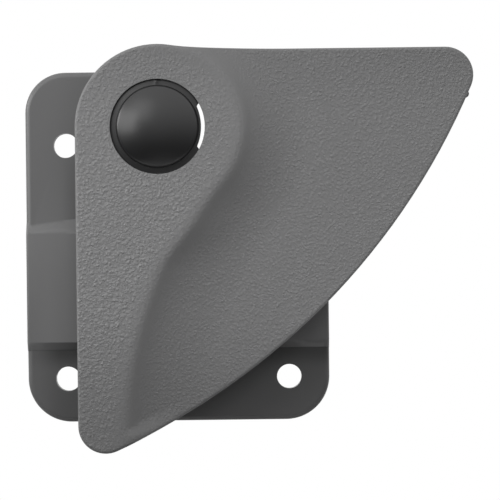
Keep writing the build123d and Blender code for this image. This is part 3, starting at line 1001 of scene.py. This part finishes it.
@dataclass
class PhotoCamera:
    """A level camera in front of the latch, rolled a little, whose view width is that at the door."""

    across: float = 18.8 * MM
    height: float = 2.6 * MM
    distance: float = 550.0 * MM
    view_width: float = 130.0 * MM
    roll: float = math.radians(-0.7)
    sensor: float = 36.0
    nearest: float = 10.0 * MM

    def build(self) -> bpy.types.Object:
        """Makes it the scene's camera.

        Returns:
            The camera.
        """
        data = bpy.data.cameras.new("photo_camera")
        data.sensor_width = self.sensor
        data.lens = self.sensor * self.distance / self.view_width
        data.clip_start = self.nearest
        camera = bpy.data.objects.new("photo_camera", data)
        bpy.context.scene.collection.objects.link(camera)
        place = Matrix.Translation((self.across, -self.distance, self.height))
        level = Matrix.Rotation(math.pi / 2, 4, "X")
        camera.matrix_world = place @ level @ Matrix.Rotation(self.roll, 4, "Z")
        bpy.context.scene.camera = camera
        log.info("camera: lens %.1f mm", data.lens)
        return camera


@dataclass
class SoftBox:
    """A soft lamp that points at the latch, at a level given as a share of plain light."""

    name: str
    place: tuple[float, float, float]
    size: tuple[float, float]
    level: float
    gloss: bool = True
    aim: tuple[float, float, float] = (0.019, -0.02, 0.002)

    def build(self) -> bpy.types.Object:
        """Makes the lamp.

        Returns:
            The lamp.
        """
        data = bpy.data.lights.new(self.name, "AREA")
        data.shape = "RECTANGLE"
        data.size, data.size_y = self.size
        reach = Vector(self.aim) - Vector(self.place)
        data.energy = self.level * math.pi**2 * reach.length_squared
        lamp = bpy.data.objects.new(self.name, data)
        bpy.context.scene.collection.objects.link(lamp)
        turn = reach.to_track_quat("-Z", "Y").to_matrix().to_4x4()
        lamp.matrix_world = Matrix.Translation(self.place) @ turn
        lamp.visible_camera = False
        lamp.visible_glossy = self.gloss
        log.info("lamp %s: %.2f W", self.name, data.energy)
        return lamp


@dataclass
class Studio:
    """A white backdrop that the camera sees, a dim room, soft lamps and a pale floor below.

    The room lights the latch, and the tent is what its gloss mirrors; both are darker below. A rise is
    the range of a ray's heading over which a strength goes from its first value to its second.
    """

    floor_across: float = 19.0 * MM
    floor_drop: float = 75.0 * MM
    floor_radius: float = 160.0 * MM
    floor_sides: int = 96
    floor_lit: float = 0.2
    floor_seen: float = 0.82
    room_rise: tuple[float, float] = (0.0, 0.6)
    room: tuple[float, float] = (0.06, 0.40)
    tent_rise: tuple[float, float] = (-0.6, 0.7)
    tent: tuple[float, float] = (0.0, 1.5)
    backdrop_rise: tuple[float, float] = (-0.15, 0.4)

    def build(self) -> None:
        """Makes the world, the lamps and the floor."""
        self.world()
        for lamp in (
            SoftBox("key", (-0.10, -0.22, 0.14), (0.12, 0.12), 0.09),
            SoftBox("left_box", (-0.30, -0.30, 0.10), (0.20, 0.20), 0.24),
            SoftBox("rim_box", (0.32, -0.10, -0.26), (0.20, 0.20), 0.16, gloss=False),
            SoftBox("side_box", (-0.45, -0.10, 0.14), (0.20, 0.20), 0.38),
            SoftBox("right_box", (0.55, -0.25, 0.10), (0.40, 0.40), 0.16, gloss=False),
            SoftBox("top_box", (0.02, -0.30, 0.36), (0.25, 0.25), 0.12, gloss=False),
            SoftBox("high_box", (0.0, -0.22, 0.42), (0.30, 0.20), 0.20, gloss=False),
            SoftBox("near_fill", (0.005, -0.16, 0.012), (0.05, 0.05), 0.22, gloss=False),
        ):
            lamp.build()
        self.floor()

    def white_seen(
        self, sheet: NodeSheet, ray: bpy.types.NodeOutputs, mirrored: object = 1.0
    ) -> bpy.types.NodeSocket:
        """Where a ray sees the white backdrop: from the camera, through glass and in gloss.

        Args:
            sheet: The tree that asks.
            ray: What a Light Path node says of the ray.
            mirrored: How much of the white a mirrored ray sees.

        Returns:
            1 for white, down to 0 for none.
        """
        straight = sheet.math("MAXIMUM", ray["Is Camera Ray"], ray["Is Transmission Ray"])
        gloss = sheet.math("MULTIPLY", ray["Is Glossy Ray"], mirrored)
        return sheet.math("MAXIMUM", straight, gloss)

    def world(self) -> None:
        """A room that is brighter above than below, and white where the backdrop is seen."""
        world = bpy.data.worlds.new("studio")
        bpy.context.scene.world = world
        world.use_nodes = True
        world.node_tree.nodes.clear()
        sheet = NodeSheet(world.node_tree)
        heading = sheet.parts(sheet.add("ShaderNodeTexCoord").outputs["Generated"])
        ray = sheet.add("ShaderNodeLightPath").outputs
        room = sheet.span(heading["Z"], *self.room_rise, *self.room)
        tent = sheet.span(heading["Z"], *self.tent_rise, *self.tent)
        backdrop = sheet.span(heading["Y"], *self.backdrop_rise, 0.0, 1.0)
        lit = sheet.mix(ray["Is Glossy Ray"], room, tent)
        strength = sheet.mix(self.white_seen(sheet, ray, backdrop), lit, 1.0)
        inputs = {"Color": (1.0, 1.0, 1.0, 1.0), "Strength": strength}
        glow = sheet.add("ShaderNodeBackground", inputs)
        sheet.add("ShaderNodeOutputWorld", {"Surface": glow.outputs[0]})

    def floor(self) -> bpy.types.Object:
        """A pale round floor below the latch, out of the photograph's frame.

        Returns:
            The floor.
        """
        form = bmesh.new()
        place = Matrix.Translation((self.floor_across, 0.0, CAD_BOX[0].z - self.floor_drop))
        bmesh.ops.create_circle(
            form, cap_ends=True, segments=self.floor_sides, radius=self.floor_radius, matrix=place
        )
        mesh = bpy.data.meshes.new("floor")
        form.to_mesh(mesh)
        form.free()
        floor = bpy.data.objects.new("floor", mesh)
        bpy.context.scene.collection.objects.link(floor)
        made = bpy.data.materials.new("pale_floor")
        made.use_nodes = True
        made.node_tree.nodes.clear()
        sheet = NodeSheet(made.node_tree)
        ray = sheet.add("ShaderNodeLightPath").outputs
        tone = sheet.mix(self.white_seen(sheet, ray), self.floor_lit, self.floor_seen)
        matt = sheet.add("ShaderNodeBsdfDiffuse", {"Color": tone})
        sheet.add("ShaderNodeOutputMaterial", {"Surface": matt.outputs[0]})
        mesh.materials.append(made)
        return floor


class Latch:
    """The whole latch: its nine pieces, from the plate outwards."""

    def pivot(self) -> tuple[float, float]:
        """Where the handle turns, across and up the door."""
        place = frame["joints"][0]["pos_m"]
        return place[0], place[2]

    def build(self) -> list[bpy.types.Object]:
        """Builds every piece.

        Returns:
            The pieces.
        """
        up_the_plate = (1.0, 1.0, 0.12)
        plate = PlatePlastic(
            "plate_satin", (0.11, 0.11, 0.111), roughness=(0.38, 0.48), flow=up_the_plate
        )
        grained = GrainedPlastic("handle_grain", (0.179, 0.179, 0.18))
        black = SmoothPlastic(
            "cap_black", (0.012, 0.012, 0.0124), roughness=(0.3, 0.36), relief=0.004 * MM
        )
        acetal = SmoothPlastic("bearing_acetal", (0.75, 0.74, 0.70), roughness=(0.35, 0.45))
        steel = PressedSteel("spring_steel", (0.56, 0.56, 0.57), pivot=self.pivot())
        handle, base = Body.HANDLE, Body.BASE
        mouldings = (
            Moulding("base_plate", "plate_moulding", base, Slot.PLATE, plate),
            Moulding("pivot_bushing", "bushing_sleeve", base, Slot.BEARING, acetal),
            Moulding("thrust_washer", "thrust_washer_ring", base, Slot.STEEL, steel),
            HandleMoulding(
                "handle", "handle_moulding", handle, Slot.HANDLE, grained, hub=self.pivot()
            ),
            Moulding("retaining_ring", "spring_ring", handle, Slot.STEEL, steel),
            Moulding("spring_washer", "coned_washer", handle, Slot.STEEL, steel),
            Moulding("screw_washer", "screw_plain_washer", handle, Slot.STEEL, steel),
            Moulding("spindle_screw", "socket_screw", handle, Slot.STEEL, steel),
            CapMoulding("hub_cap", "cap_dome", handle, Slot.CAP, black, hub=self.pivot()),
        )
        return [moulding.build() for moulding in mouldings]


def main() -> None:
    """Builds the camera, the studio and the latch."""
    logging.basicConfig(level=logging.INFO, format="%(message)s")
    bpy.context.scene.view_settings.view_transform = "Standard"
    PhotoCamera().build()
    Studio().build()
    Latch().build()


if __name__ == "__main__":
    main()
